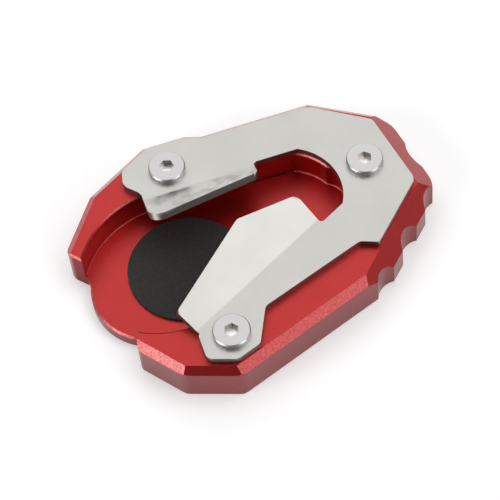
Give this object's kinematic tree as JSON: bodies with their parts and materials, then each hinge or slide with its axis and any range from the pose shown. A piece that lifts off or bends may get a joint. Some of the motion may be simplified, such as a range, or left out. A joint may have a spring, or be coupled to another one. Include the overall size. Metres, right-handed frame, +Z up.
{
  "type": "side stand foot enlarger",
  "caption": "Machined plate that widens a motorbike's side stand foot, with a round pocket, a grip pad and a folded clamp plate held by screws.",
  "frame": {"origin": "on the ground face, below the grip pad and 1.1 mm in front of its middle", "axes": "+Z up; +X along the bend of the back flap, from the open mouth of the pocket to the scalloped end; +Y to the straight back edge"},
  "size_m": [0.0994, 0.0773, 0.0191],
  "materials": {
    "base": "bead blasted and anodised red",
    "plate": "satin bead blasted stainless sheet",
    "screws": "turned and lightly polished stainless",
    "pad": "fine grained grip sheet"
  },
  "bodies": {
    "root": {"base": "base", "clamp_plate": "plate", "screw_back": "screws", "screw_right": "screws", "screw_front": "screws", "foot_pad": "pad"}
  },
  "joints": []
}
